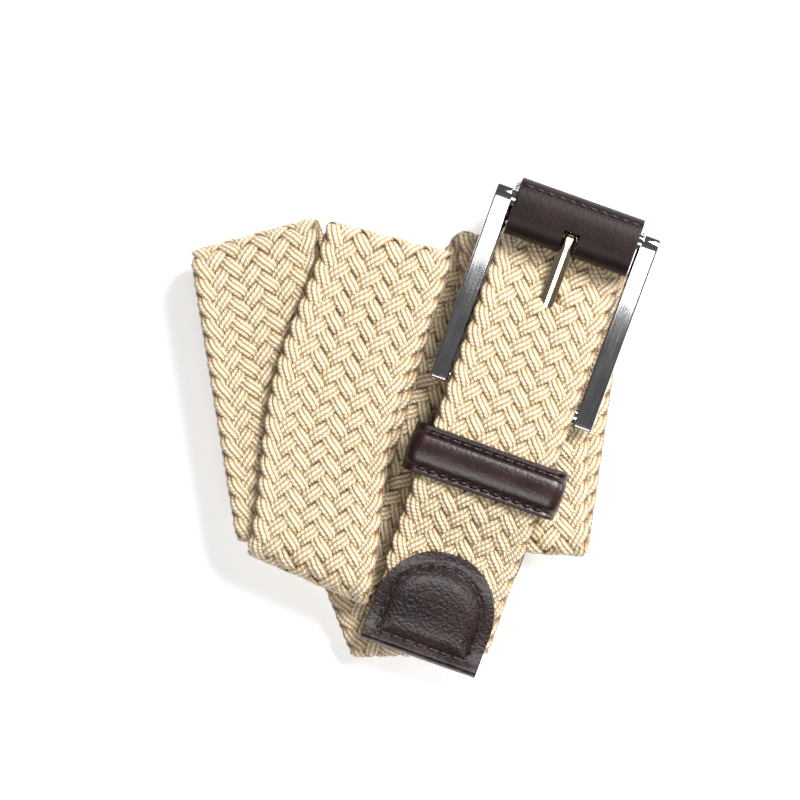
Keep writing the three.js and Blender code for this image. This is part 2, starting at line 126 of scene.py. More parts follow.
# Each fold is half a cylinder across the bisector of its two runs, crossed at a slant,
# so the ends of the runs shift along it. A few passes settle them.
tab_direction = unit(turns[0] - heel)
starts = np.vstack([heel + STRAP_START * tab_direction, turns[:-1]])
ends = turns.copy()
fold_below = np.array([h[-1] for h in heights[:-1]])
fold_above = np.array([h[0] for h in heights[1:]])
fold_radius = np.abs(fold_above - fold_below) / 2
for _ in range(25):
    ways = unit(ends - starts)
    outward = unit(ways[:-1] - ways[1:])
    axis = quarter_turn(outward)
    square = dot(ways[:-1], outward)
    shift = np.pi * fold_radius * dot(ways[:-1], axis) / square
    enter = turns[:-1] - outward * fold_radius[:, None] - axis * shift[:, None] / 2
    ends[:-1] = enter
    starts[1:] = enter + axis * shift[:, None]
ways = unit(ends - starts)
lengths = np.linalg.norm(ends - starts, axis=1)
handed = np.where(np.arange(9) % 2 == 0, 1.0, -1.0)
sides = quarter_turn(ways) * handed[:, None]
lead_after = np.append(-dot(sides[:-1], outward) / dot(ways[:-1], outward), 0)
lead_before = np.append(0, -dot(sides[1:], outward) / dot(ways[1:], outward))
fold_length = np.pi * fold_radius / square
run_begin = np.append(0, np.cumsum(lengths[:-1] + fold_length))
STRAP_LENGTH = run_begin[-1] + lengths[-1]


def strap_middle(s, w):
    """Middle of the strap's thickness at length s and at w to the side.

    On a run it is the start plus the way times s plus the side times w, with the heights
    blended between stations. On a fold it goes round half a cylinder.
    """
    s, w = np.broadcast_arrays(s, w)
    point = np.zeros(s.shape + (3,))
    for i in range(9):
        local = s - run_begin[i]
        first = lead_before[i] * w
        last = lengths[i] + lead_after[i] * w
        share = (local - first) / (last - first)
        on_run = (local >= first) | (i == 0)
        held = np.clip(share, 0, 1)
        sway = bows[i] * handed[i] * 16 * held ** 2 * (1 - held) ** 2
        flat = starts[i] + ways[i] * local[..., None] + sides[i] * (w + sway)[..., None]
        stations = np.array(alongs[i])
        piece = np.clip(np.searchsorted(stations, held, "right") - 1, 0, len(stations) - 2)
        within = smooth((held - stations[piece]) / (stations[piece + 1] - stations[piece]))
        levels = np.array(heights[i])
        z = mix(levels[piece], levels[piece + 1], within)
        run_point = np.concatenate([flat, z[..., None]], axis=-1)
        point = np.where(on_run[..., None], run_point, point)
        if i == 8:
            continue
        turn = (local - last) / fold_length[i]
        across = w * dot(sides[i], axis[i]) + lead_after[i] * w * dot(ways[i], axis[i])
        flat = (enter[i] + outward[i] * fold_radius[i] * np.sin(np.pi * turn)[..., None]
                + axis[i] * (across + shift[i] * turn)[..., None])
        z = mix(fold_below[i], fold_above[i], (1 - np.cos(np.pi * turn)) / 2)
        fold_point = np.concatenate([flat, z[..., None]], axis=-1)
        point = np.where((turn > 0)[..., None], fold_point, point)
    return point


def strap_point(s, w, t):
    """The strap's middle lifted by t along the normal of its face, and that normal."""
    tiny = 2e-5
    ahead = strap_middle(s + tiny, w) - strap_middle(s - tiny, w)
    aside = strap_middle(s, w + tiny) - strap_middle(s, w - tiny)
    normal = unit(np.cross(ahead, aside))
    s, w, t = np.broadcast_arrays(s, w, t)
    return strap_middle(s, w) + normal * t[..., None], normal


def grid_piece(name, points, row_place, column_place, ring=False, tube=True, keep=None):
    """A mesh object from grids of points, shaped parts by rows by columns.

    Neighbouring rows and columns share a face. A tube joins its last column to its first
    and closes both ends; a ring joins its last row to its first. UVs are the row and
    column places. keep marks the faces of a sheet that stay.
    """
    parts, rows, columns, _ = points.shape
    index = np.arange(parts * rows * columns).reshape(parts, rows, columns)
    if ring:
        index = np.concatenate([index, index[:, :1]], axis=1)
    if tube:
        index = np.concatenate([index, index[:, :, :1]], axis=2)
    corners = [index[:, :-1, :-1], index[:, :-1, 1:], index[:, 1:, 1:], index[:, 1:, :-1]]
    u = np.broadcast_to(row_place[:, None], (len(row_place), len(column_place)))
    v = np.broadcast_to(column_place[None, :], u.shape)
    places = np.stack([u, v], axis=-1)
    place_corners = [places[:-1, :-1], places[:-1, 1:], places[1:, 1:], places[1:, :-1]]
    faces = np.stack(corners, axis=-1)
    uvs = np.broadcast_to(np.stack(place_corners, axis=-2), faces.shape + (2,))
    if keep is not None:
        faces = faces[keep]
        uvs = uvs[keep]
    faces = faces.reshape(-1, 4)
    uvs = uvs.reshape(-1, 4, 2)
    if tube and not ring:
        j = np.arange(columns // 2 - 1)
        lid = np.stack([j, columns - 1 - j, columns - 2 - j, j + 1], axis=-1)
        first = index[:, 0, :][:, lid].reshape(-1, 4)
        last = index[:, -1, :][:, lid[:, ::-1]].reshape(-1, 4)
        faces = np.concatenate([faces, first, last])
        uvs = np.concatenate([uvs, np.zeros((len(first) + len(last), 4, 2))])
    flat_points = points.reshape(-1, 3)
    a, b, c, d = (flat_points[faces[:, n]] for n in range(4))
    volume = dot(a, np.cross(b, c)).sum() + dot(a, np.cross(c, d)).sum()
    if tube and volume < 0:
        faces = faces[:, ::-1]
        uvs = uvs[:, ::-1]
    mesh = bpy.data.meshes.new(name)
    mesh.vertices.add(len(flat_points))
    mesh.vertices.foreach_set("co", flat_points.astype(np.float32).ravel())
    mesh.loops.add(faces.size)
    mesh.loops.foreach_set("vertex_index", faces.astype(np.int32).ravel())
    mesh.polygons.add(len(faces))
    mesh.polygons.foreach_set("loop_start", np.arange(0, faces.size, 4, dtype=np.int32))
    mesh.uv_layers.new(name="UVMap").data.foreach_set("uv", uvs.astype(np.float32).ravel())
    mesh.update(calc_edges=True)
    mesh.validate()
    mesh.shade_smooth()
    piece = bpy.data.objects.new(name, mesh)
    bpy.context.collection.objects.link(piece)
    return piece


CORDS = 17
CORD_WIDTH = 0.0043
CORD_THICK = 0.0016
STAIR = 0.42
CORD_SPACING = 0.0055
CORD_STEP = 0.0011
BRAID_REACH = 0.01585
BRAID_HEIGHT = 0.00078
CROSSINGS = np.array([0, 2.5, 4.5, 6.5, 8.5, 10.5, 12.5, 14.5, 17])
TIP_TAPER = 0.1
TAPER_LENGTH = 0.012
CAP_STRAIGHT = 0.012
PRONG_DIVE = 0.0242
EYE_CLEARANCE = 0.00035
CORD_SLANT = 1.21


def prong_level(distance):
    """Height of the prong's middle at a distance from the heel bar: straight down, then level."""
    start = HEEL_Z + BAR_THICK / 2 + EYE_CLEARANCE + 0.35 * PRONG_THICK
    return mix(start, PRONG_TIP_Z, np.clip(distance / (BAR_SPAN - 0.9 * BAR_WIDTH), 0, 1))


def cord_line(cord, s):
    """Middle line of a cord: a triangle wave to the side, over and under in eight columns.

    It crosses each column steeply and steps along the strap between them. Near the prong
    the cords duck below it on the heel's side and ride over it beyond.
    """
    phase = (s - cord * CORD_SPACING) / (CORDS * CORD_SPACING)
    cycle = phase - np.floor(phase)
    wave = 1 - 4 * np.abs(cycle - 0.5)
    column = np.interp(8.5 * (wave + 1), CROSSINGS, np.arange(9))
    over = np.tanh(2.2 * np.sin(np.pi * column)) / np.tanh(2.2)
    column = column - STAIR * np.sin(2 * np.pi * column) / (2 * np.pi)
    wave = np.interp(column, np.arange(9), CROSSINGS) / 8.5 - 1
    rising = np.where(cycle < 0.5, 1.0, -1.0)
    taper = 1 - TIP_TAPER * smooth(1 - (STRAP_LENGTH - s - CAP_STRAIGHT) / TAPER_LENGTH)
    w = BRAID_REACH * taper * (1.2 * wave - 0.2 * wave ** 5)
    t = BRAID_HEIGHT * rising * over
    line, normal = strap_point(s, w, t)
    from_heel = line[..., :2] - heel
    distance = from_heel @ tab_direction
    beside = np.abs(from_heel @ quarter_turn(tab_direction))
    near = smooth((0.0046 - beside) / 0.0018) * (s > run_begin[8]) * (distance < 0.04)
    room = (PRONG_THICK + CORD_THICK) / 2
    below = np.minimum(line[..., 2], prong_level(distance) - room)
    above = np.maximum(line[..., 2], prong_level(distance) + room)
    above = mix(line[..., 2], above, smooth(t / 0.0004))
    parted = mix(below, above, smooth((distance - PRONG_DIVE + 0.001) / 0.002))
    line[..., 2] = mix(line[..., 2], parted, near)
    return line, normal, t, np.abs(over)


def braid_cords(name, cords):
    """Flattened tubes swept along the cord lines, with their ends closed."""
    s = np.arange(0, STRAP_LENGTH - 0.0004, CORD_STEP)
    line, normal, t, over = cord_line(np.array(cords)[:, None], s[None, :])
    ahead = unit(np.gradient(line, axis=1))
    aside = unit(np.cross(ahead, normal))
    up = np.cross(aside, ahead)
    angle = np.arange(8) / 8 * 2 * np.pi
    wide = np.sign(np.cos(angle)) * np.abs(np.cos(angle)) ** 0.9 * CORD_WIDTH / 2
    high = np.sign(np.sin(angle)) * np.abs(np.sin(angle)) ** 0.75 * CORD_THICK / 2
    full = mix(0.72, 1, over ** 0.8)[..., None, None]
    points = (line[:, :, None] + aside[:, :, None] * wide[:, None] * full
              + up[:, :, None] * high[:, None])
    run = np.arange(len(s)) * CORD_STEP * CORD_SLANT
    piece = grid_piece(name, points, run, np.append(wide, wide[0]) / (CORD_WIDTH / 2))
    # lift is each point's height in the weave; the material turns it into painted shade low down and
    # painted highlight high up.
    facing = np.sign(high + 1e-9)
    lift = (t[:, :, None] + high) * facing / (BRAID_HEIGHT + CORD_THICK / 2)
    shown = piece.data.attributes.new("lift", "FLOAT", "POINT")
    shown.data.foreach_set("value", lift.astype(np.float32).ravel())
    piece.data.materials.append(braid)
    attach(piece, "root")
    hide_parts("braided_strap")


def material(name):
    """A new material with its shader and the tools to add nodes to it."""
    made = bpy.data.materials.new(name)
    made.use_nodes = True
    return made, made.node_tree, made.node_tree.nodes["Principled BSDF"]


def node(tree, kind, inputs=None, **settings):
    """A node in a tree: settings are its own values, inputs are numbers or sockets."""
    made = tree.nodes.new(kind)
    for key, value in settings.items():
        setattr(made, key, value)
    for key, value in (inputs or {}).items():
        if isinstance(value, bpy.types.NodeSocket):
            tree.links.new(value, made.inputs[key])
        else:
            made.inputs[key].default_value = value
    return made


def sum_of(tree, operation, a, b=None, c=None):
    """The result of one step of arithmetic on sockets or numbers."""
    inputs = {i: value for i, value in enumerate((a, b, c)) if value is not None}
    return node(tree, "ShaderNodeMath", inputs, operation=operation).outputs[0]


# Silky cream yarn: three ribs along each cord, crossed by fine slanted stitches.
# Painted shade turns the yarn tan and brown where the cords dive under each other, and painted highlight
# lightens raised cords and rib crests.
braid, tree, shader = material("silky cream braid")
uv = node(tree, "ShaderNodeUVMap", uv_map="UVMap").outputs[0]
place = node(tree, "ShaderNodeSeparateXYZ", {0: uv})
along, across = place.outputs[0], place.outputs[1]
fibre = node(tree, "ShaderNodeTexNoise", {
    "Vector": node(tree, "ShaderNodeTexCoord").outputs["Object"], "Scale": 900, "Detail": 3})
rib = sum_of(tree, "ABSOLUTE", sum_of(tree, "COSINE", sum_of(tree, "MULTIPLY", across, 1.5 * np.pi)))
lean = sum_of(tree, "MULTIPLY", across, 4.2)
stagger = sum_of(tree, "MULTIPLY_ADD", fibre.outputs["Fac"], 5, lean)
slope = sum_of(tree, "MULTIPLY_ADD", along, 2 * np.pi / 0.00105, stagger)
stitch = sum_of(tree, "MULTIPLY_ADD", sum_of(tree, "SINE", slope), 0.5, 0.5)
relief = sum_of(tree, "MULTIPLY", rib, sum_of(tree, "MULTIPLY_ADD", stitch, 0.5, 0.5))
bump = node(tree, "ShaderNodeBump", {"Height": relief, "Strength": 1, "Distance": 0.00045})
lift = node(tree, "ShaderNodeAttribute", attribute_name="lift").outputs["Fac"]
# Painted shade and highlight: the colour follows the stored height and the rib relief, while the fibre
# noise adds random tone.
painted_shade_by_height = sum_of(tree, "MULTIPLY", lift, sum_of(tree, "MULTIPLY_ADD", relief, 0.6, 0.4))
tone = sum_of(tree, "MULTIPLY_ADD", fibre.outputs["Fac"], 0.3, sum_of(tree, "SUBTRACT", painted_shade_by_height, 0.15))
ramp = node(tree, "ShaderNodeValToRGB", {0: tone})
# The ramp runs from painted shade brown in the dips, through the cream yarn, to a painted highlight near
# white.
ramp.color_ramp.elements[0].position = 0.12
ramp.color_ramp.elements[0].color = (0.16, 0.065, 0.016, 1)
ramp.color_ramp.elements[1].position = 0.92
ramp.color_ramp.elements[1].color = (0.88, 0.78, 0.6, 1)
middle = ramp.color_ramp.elements.new(0.5)
middle.color = (0.52, 0.37, 0.19, 1)
tree.links.new(ramp.outputs[0], shader.inputs["Base Color"])
tree.links.new(bump.outputs[0], shader.inputs["Normal"])
shader.inputs["Roughness"].default_value = 0.42
shader.inputs["Sheen Weight"].default_value = 0.35
shader.inputs["Sheen Roughness"].default_value = 0.4
shader.inputs["Sheen Tint"].default_value = (1.0, 0.93, 0.8, 1)

braid_cords("braid_cords_odd", [0, 2, 4, 6, 8, 10, 12, 14, 16])
braid_cords("braid_cords_even", [1, 3, 5, 7, 9, 11, 13, 15])

# Leather tab: one strip of smooth dark brown leather, laid along the strap's underside,
# up the outside of the stack, round the heel bar and back onto the strap's upper side.
# A slot in its fold lets the prong out, and black paint seals the cut edges.
TAB_WIDTH = 0.0368
TAB_LENGTH = 0.113
TUBE_INNER_END = 0.010
WALL_OUTER = 0.006
EYE_WALL = 0.0013
EYE_HEIGHT = BAR_THICK / 2 + EYE_CLEARANCE + EYE_WALL
SLOT_WIDTH = 0.0044
SLOT_END = -0.0041
FOLD_HALF = STRAP_WIDTH / 2 - 0.0001
THREAD = 0.0006
bar_way = -quarter_turn(-tab_direction)


def at_buckle(x, y, z):
    """A place given along the heel bar, outwards past it and up, in the belt's own frame."""
    x, y, z = np.broadcast_arrays(x, y, z)
    flat = heel + x[..., None] * bar_way - y[..., None] * tab_direction
    return np.concatenate([flat, z[..., None]], axis=-1)


def arc(middle_y, middle_z, radius, start, end, steps):
    """Places on a circle from one angle in degrees to another."""
    angle = np.radians(np.linspace(start, end, steps))
    return np.stack([middle_y + radius * np.cos(angle), middle_z + radius * np.sin(angle)], axis=-1)


def tab_line(step):
    """The strip's middle line seen from the side, [outwards, up], at even steps.

    Flat under the leaf's round end, round an inner bend, a Bezier curve under the bar,
    a superellipse round it and a wide bend back to the floor.
    """
    leaf_up = TAB_LEVEL + HALF + FIT + LEATHER / 2
    leaf_down = LEATHER / 2
    wall_out = WALL_OUTER - LEATHER / 2
    wall_in = wall_out - LEATHER - FIT
    bend = 0.0064
    inner = bend - LEATHER - FIT
    bend_y, bend_z = wall_out - bend, leaf_down + bend
    strap_end = -STRAP_START
    reach = (wall_out + TUBE_INNER_END - LEATHER / 2) / 2
    middle_y = wall_out - reach
    rise = EYE_HEIGHT + FIT + LEATHER / 2 + 0.0004
    share = np.linspace(0, 1, 12)[1:-1]
    settle = np.stack([mix(strap_end + 0.001, bend_y, share),
                       mix(leaf_up, bend_z - inner, smooth(share))], axis=-1)
    k = np.linspace(0, 1, 14)[:, None]
    knots = np.array([[wall_in, HEEL_Z - 2.1 * rise], [wall_in, HEEL_Z - 1.1 * rise],
                      [mix(middle_y, wall_in, 0.7), HEEL_Z - rise], [middle_y, HEEL_Z - rise]])
    under = ((1 - k) ** 3 * knots[0] + 3 * (1 - k) ** 2 * k * knots[1]
             + 3 * (1 - k) * k ** 2 * knots[2] + k ** 3 * knots[3])
    angle = np.radians(np.linspace(-90, -360, 60))[1:]
    swell = np.stack([np.cos(angle), np.sin(angle)], axis=-1)
    swell = np.sign(swell) * np.abs(swell) ** (2 / 2.6)
    loop = np.array([middle_y, HEEL_Z]) + swell * np.array([reach, rise])
    line = np.concatenate([
        [[-TAB_LENGTH, leaf_up], [strap_end + 0.001, leaf_up]], settle,
        arc(bend_y, bend_z, inner, -90, 0, 12), under, loop,
        arc(bend_y, bend_z, bend, 0, -90, 14), [[-TAB_LENGTH, leaf_down]]])
    travel = np.append(0, np.cumsum(np.linalg.norm(np.diff(line, axis=0), axis=1)))
    even = np.linspace(0, travel[-1], int(travel[-1] / step))
    return np.stack([np.interp(even, travel, line[:, i]) for i in range(2)], axis=-1), even


def tab_half_width(y, z):
    """Half the strip's width: wide in the leaves, narrower at the heel, round at the ends."""
    half = mix(TAB_WIDTH / 2, FOLD_HALF, smooth(z / HEEL_Z * 1.6))
    into_end = np.clip((TAB_WIDTH / 2 - TAB_LENGTH - y) / (TAB_WIDTH / 2), 0, 0.9995)
    return half * np.sqrt(1 - into_end ** 2)


line, travel = tab_line(0.0007)
half = tab_half_width(line[:, 0], line[:, 1])
slot_share = SLOT_WIDTH / 2 / FOLD_HALF
spread = np.sort(np.append(np.linspace(-1, 1, 47), [-slot_share, slot_share]))
points = at_buckle(spread[None, :] * half[:, None], line[:, :1], line[:, 1:])
middle_x = (spread[1:] + spread[:-1]) / 2 * half[:-1, None]
middle_line = (line[1:] + line[:-1]) / 2
in_tube = (middle_line[:, 1] > HEEL_Z - 0.0045) & (middle_line[:, 0] < SLOT_END)
cut = in_tube[:, None] & (np.abs(middle_x) < SLOT_WIDTH / 2)
tab = grid_piece("leather_tab", points[None], travel, spread * FOLD_HALF, tube=False,
                 keep=~cut[None])


def thicken(piece, thickness, edge):
    """Gives a sheet its thickness about its middle, rounds its cut edges and paints them."""
    wall = piece.modifiers.new("thickness", "SOLIDIFY")
    wall.thickness = thickness
    wall.offset = 0
    wall.use_even_offset = True
    wall.material_offset_rim = 1
    rounded = piece.modifiers.new("edge", "BEVEL")
    rounded.width = edge
    rounded.segments = 3
    rounded.material = 1
    rounded.limit_method = "ANGLE"
    rounded.angle_limit = np.radians(50)


thicken(tab, LEATHER, 0.00025)


def leather_grain():
    """Node group: fine pebbled grain and slow changes of tone on the object's own place."""
    group = bpy.data.node_groups.new("leather grain", "ShaderNodeTree")
    for name, kind in (("Scale", "NodeSocketFloat"), ("Depth", "NodeSocketFloat")):
        group.interface.new_socket(name, in_out="INPUT", socket_type=kind)
    for name, kind in (("Height", "NodeSocketFloat"), ("Tone", "NodeSocketFloat")):
        group.interface.new_socket(name, in_out="OUTPUT", socket_type=kind)
    given = group.nodes.new("NodeGroupInput")
    result = group.nodes.new("NodeGroupOutput")
    spot = node(group, "ShaderNodeTexCoord").outputs["Object"]
    warp = node(group, "ShaderNodeTexNoise", {"Vector": spot, "Scale": 400, "Detail": 2})
    moved = node(group, "ShaderNodeVectorMath", {0: warp.outputs["Color"], 1: (0.0009,) * 3},
                 operation="MULTIPLY")
    bent = node(group, "ShaderNodeVectorMath", {0: spot, 1: moved.outputs[0]})
    cells = node(group, "ShaderNodeTexVoronoi", {"Vector": bent.outputs[0],
                                                 "Scale": given.outputs["Scale"]},
                 feature="SMOOTH_F1")
    fine = node(group, "ShaderNodeTexNoise", {"Vector": spot, "Scale": 3000, "Detail": 4})
    domes = sum_of(group, "SUBTRACT", 1, cells.outputs["Distance"])
    height = sum_of(group, "MULTIPLY_ADD", fine.outputs["Fac"], 0.35, domes)
    group.links.new(sum_of(group, "MULTIPLY", height, given.outputs["Depth"]),
                    result.inputs["Height"])
    cloud = node(group, "ShaderNodeTexNoise", {"Vector": spot, "Scale": 110, "Detail": 4})
    tone = sum_of(group, "MULTIPLY_ADD", cells.outputs["Distance"], -0.25, cloud.outputs["Fac"])
    group.links.new(tone, result.inputs["Tone"])
    return group


grain = leather_grain()


def leather(name, scale, depth, roughness, gloss, dark, light):
    """Dark brown leather: grain as relief, and a tone that drifts between two browns."""
    made, tree, shader = material(name)
    skin = node(tree, "ShaderNodeGroup", node_tree=grain)
    skin.inputs["Scale"].default_value = scale
    skin.inputs["Depth"].default_value = depth
    bump = node(tree, "ShaderNodeBump", {"Height": skin.outputs["Height"], "Strength": 1,
                                         "Distance": 0.00007})
    ramp = node(tree, "ShaderNodeValToRGB", {0: skin.outputs["Tone"]})
    ramp.color_ramp.elements[0].position = 0.25
    ramp.color_ramp.elements[0].color = (*dark, 1)
    ramp.color_ramp.elements[1].position = 0.7
    ramp.color_ramp.elements[1].color = (*light, 1)
    rough = node(tree, "ShaderNodeMapRange", {"Value": skin.outputs["Tone"], "To Min": roughness - 0.05,
                                              "To Max": roughness + 0.08})
    tree.links.new(ramp.outputs[0], shader.inputs["Base Color"])
    tree.links.new(rough.outputs[0], shader.inputs["Roughness"])
    tree.links.new(bump.outputs[0], shader.inputs["Normal"])
    shader.inputs["Specular IOR Level"].default_value = gloss
    return made


edge_paint, tree, shader = material("black edge paint")
spot = node(tree, "ShaderNodeTexCoord").outputs["Object"]
drips = node(tree, "ShaderNodeTexNoise", {"Vector": spot, "Scale": 700, "Detail": 3})
bump = node(tree, "ShaderNodeBump", {"Height": drips.outputs["Fac"], "Strength": 0.5,
                                     "Distance": 0.0002})
tint = node(tree, "ShaderNodeValToRGB", {0: drips.outputs["Fac"]})
tint.color_ramp.elements[0].color = (0.004, 0.004, 0.005, 1)
tint.color_ramp.elements[1].color = (0.014, 0.012, 0.013, 1)
tree.links.new(tint.outputs[0], shader.inputs["Base Color"])
tree.links.new(bump.outputs[0], shader.inputs["Normal"])
shader.inputs["Roughness"].default_value = 0.35
# The tab's browns are darker than those of the keeper and cap, which are the same leather: painted
# shade.
tab.data.materials.append(leather("smooth brown leather", 1500, 0.6, 0.44, 0.2,
                                  (0.007, 0.0026, 0.0024), (0.018, 0.0068, 0.006)))
tab.data.materials.append(edge_paint)
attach(tab, "root")
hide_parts("buckle_tab")


def sew(name, holes, normals, thread):
    """A row of stitches: from each hole to the next a thread that rises and dips back."""
    first, last = holes[:-1], holes[1:]
    share = np.linspace(0.1, 0.9, 9)
    middle = (first[:, None] + (last - first)[:, None] * share[:, None]
              + normals[:-1, None] * (thread * (0.6 * np.sin(np.pi * share) - 0.4))[:, None])
    ahead = unit(np.gradient(middle, axis=1))
    aside = unit(np.cross(ahead, normals[:-1, None]))
    up = np.cross(aside, ahead)
    angle = np.arange(6) / 6 * 2 * np.pi
    size = thread / 2 * np.sqrt(np.sin(np.pi * np.linspace(0.06, 0.94, 9)))[:, None, None]
    points = (middle[:, :, None]
              + aside[:, :, None] * np.cos(angle)[:, None] * size * 1.25
              + up[:, :, None] * np.sin(angle)[:, None] * size)
    row = grid_piece(name, points, share * 0.003, np.arange(7) / 6)
    row.data.materials.append(thread_finish)
    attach(row, "root")


# Dark brown waxed thread, its twist shown by relief along each stitch; the darker colour in the twist's
# grooves is painted shade.
thread_finish, tree, shader = material("waxed brown thread")
uv = node(tree, "ShaderNodeUVMap", uv_map="UVMap").outputs[0]
twist = node(tree, "ShaderNodeTexWave", {"Vector": uv, "Scale": 300, "Distortion": 1})
bump = node(tree, "ShaderNodeBump", {"Height": twist.outputs["Fac"], "Strength": 0.4,
                                     "Distance": 0.0001})
# The tint follows the twist's relief: painted shade in its grooves, lighter on its crests.
tint = node(tree, "ShaderNodeValToRGB", {0: twist.outputs["Fac"]})
tint.color_ramp.elements[0].color = (0.006, 0.003, 0.003, 1)
tint.color_ramp.elements[1].color = (0.03, 0.014, 0.014, 1)
tree.links.new(tint.outputs[0], shader.inputs["Base Color"])
tree.links.new(bump.outputs[0], shader.inputs["Normal"])
shader.inputs["Roughness"].default_value = 0.4

stitch_row = np.argmin(np.hypot(line[:, 0] - 0.0036, line[:, 1] - (HEEL_Z + 0.0037)))
row_way = line[stitch_row + 1] - line[stitch_row - 1]
row_normal = np.array([-row_way[1], row_way[0]]) / np.hypot(*row_way)
row_normal = row_normal * np.sign(row_normal[1])
seam = line[stitch_row] + row_normal * LEATHER / 2
seam_x = np.linspace(-0.0165, 0.0165, 12)
seam_normal = at_buckle(0, row_normal[0], row_normal[1]) - at_buckle(0, 0, 0)
sew("heel_stitches", at_buckle(seam_x, seam[0], seam[1]), np.tile(seam_normal, (12, 1)), THREAD)

# Buckle frame: satin metal, two flat side bars that bow down a little, joined by a round
# heel bar inside the leather and a front bar under the strap. The strap's tip rides over it.
SIDE_CLEARANCE = 0.0005
FRAME_WIDTH = STRAP_WIDTH + 2 * (SIDE_CLEARANCE + BAR_WIDTH)
BAR_BEVEL = 0.0006
BAR_SAG = 0.0012
HEEL_ROUND = 0.0032
HEEL_DROP = 0.0026


def tilted(x, y, z):
    """A place in the buckle's own tilted frame, with its origin inside the heel bar."""
    x, y, z = np.broadcast_arrays(x, y, z)
    up = HEEL_Z + y * np.sin(TILT) + z * np.cos(TILT)
    return at_buckle(x, y * np.cos(TILT) - z * np.sin(TILT), up)


def side_bar(sign):
    """A bar along the frame: a rectangle with rounded corners, rounded down at the heel."""
    back, front = BAR_WIDTH / 2, BAR_WIDTH / 2 - FRAME_LENGTH
    y = np.concatenate([np.linspace(front, front + BAR_BEVEL, 5), np.linspace(front, back, 60)[2:-4],
                        back - HEEL_ROUND * (1 - np.sin(np.linspace(0.1, 1, 12) * np.pi / 2))])
    sag = -4 * BAR_SAG * (back - y) * (y - front) / (back - front) ** 2
    heel_round = np.clip((y - back + HEEL_ROUND) / HEEL_ROUND, 0, 1)
    front_round = np.clip((front + BAR_BEVEL - y) / BAR_BEVEL, 0, 1)
    top = BAR_THICK / 2 - HEEL_DROP * (1 - np.sqrt(np.clip(1 - heel_round ** 2, 0, 1)))
    top = top - BAR_BEVEL * (1 - np.sqrt(np.clip(1 - front_round ** 2, 0, 1)))
    bottom = -BAR_THICK / 2 + BAR_BEVEL * (1 - np.sqrt(np.clip(1 - front_round ** 2, 0, 1)))
    turn = np.radians([0, 30, 60, 90])
    corner_x, corner_z = np.sin(turn) * BAR_BEVEL, np.cos(turn) * BAR_BEVEL
    inset = BAR_WIDTH / 2 - BAR_BEVEL
    x = np.concatenate([inset + corner_x, inset + corner_x[::-1], -inset - corner_x,
                        -inset - corner_x[::-1]])
    high = (top - BAR_BEVEL)[:, None] + corner_z
    low = (bottom + BAR_BEVEL)[:, None] - corner_z
    z = np.concatenate([high, low[:, ::-1], low, high[:, ::-1]], axis=1) + sag[:, None]
    return tilted(x[None, :] + sign * (FRAME_WIDTH - BAR_WIDTH) / 2, y[:, None], z), y


def cross_bar(y, width, thick):
    """A round-edged bar between the side bars, an ellipse in section."""
    angle = np.arange(16) / 16 * 2 * np.pi
    x = np.linspace(-1, 1, len(bar_place)) * (FRAME_WIDTH / 2 - BAR_WIDTH + 0.001)
    return tilted(x[:, None], y + width / 2 * np.cos(angle)[None, :],
                  thick / 2 * np.sin(angle)[None, :])


left_bar, bar_place = side_bar(-1)
right_bar, bar_place = side_bar(1)
bars = np.stack([left_bar, right_bar])
around = np.array([0, 1, 2, 3, 6, 7, 8, 9, 16, 17, 18, 19, 22, 23, 24, 25, 32]) * 0.0005
side_bars = grid_piece("buckle_side_bars", bars, bar_place, around)
crosses = np.stack([cross_bar(0, 0.86 * BAR_WIDTH, 0.86 * BAR_THICK),
                    cross_bar(-BAR_SPAN, 0.86 * BAR_WIDTH, 0.8 * BAR_THICK)])
cross_bars = grid_piece("buckle_cross_bars", crosses, bar_place, np.arange(17) * 0.0009)

satin, tree, shader = material("satin metal")
uv = node(tree, "ShaderNodeUVMap", uv_map="UVMap").outputs[0]
stretched = node(tree, "ShaderNodeMapping", {"Vector": uv, "Scale": (60, 4200, 1)})
lines = node(tree, "ShaderNodeTexNoise", {"Vector": stretched.outputs[0], "Scale": 1, "Detail": 4})
spot = node(tree, "ShaderNodeTexCoord").outputs["Object"]
cloud = node(tree, "ShaderNodeTexNoise", {"Vector": spot, "Scale": 160, "Detail": 3})
bump = node(tree, "ShaderNodeBump", {"Height": lines.outputs["Fac"], "Strength": 0.25,
                                     "Distance": 0.00003})
# The brush lines also shift the colour between dark and light grey: the lines are a real brushed
# pattern, while their strong light and dark streaks are painted reflection.
tint = node(tree, "ShaderNodeValToRGB", {0: lines.outputs["Fac"]})
tint.color_ramp.elements[0].position = 0.3
tint.color_ramp.elements[0].color = (0.3, 0.3, 0.31, 1)
tint.color_ramp.elements[1].position = 0.7
tint.color_ramp.elements[1].color = (0.72, 0.72, 0.73, 1)
rough = node(tree, "ShaderNodeMapRange", {"Value": cloud.outputs["Fac"], "To Min": 0.05, "To Max": 0.13})
tree.links.new(tint.outputs[0], shader.inputs["Base Color"])
tree.links.new(rough.outputs[0], shader.inputs["Roughness"])
tree.links.new(bump.outputs[0], shader.inputs["Normal"])
shader.inputs["Metallic"].default_value = 1
for bar in (side_bars, cross_bars):
    bar.data.materials.append(satin)
    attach(bar, "root")
    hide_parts("buckle_frame")

# Prong: a polished pin with an eye round the heel bar. Its ridged shank comes out of the
# leather's slot, dips through the plaited cords and ends under the front bar.
PRONG_WIDTH = 0.0042
SHANK_START = 0.0037


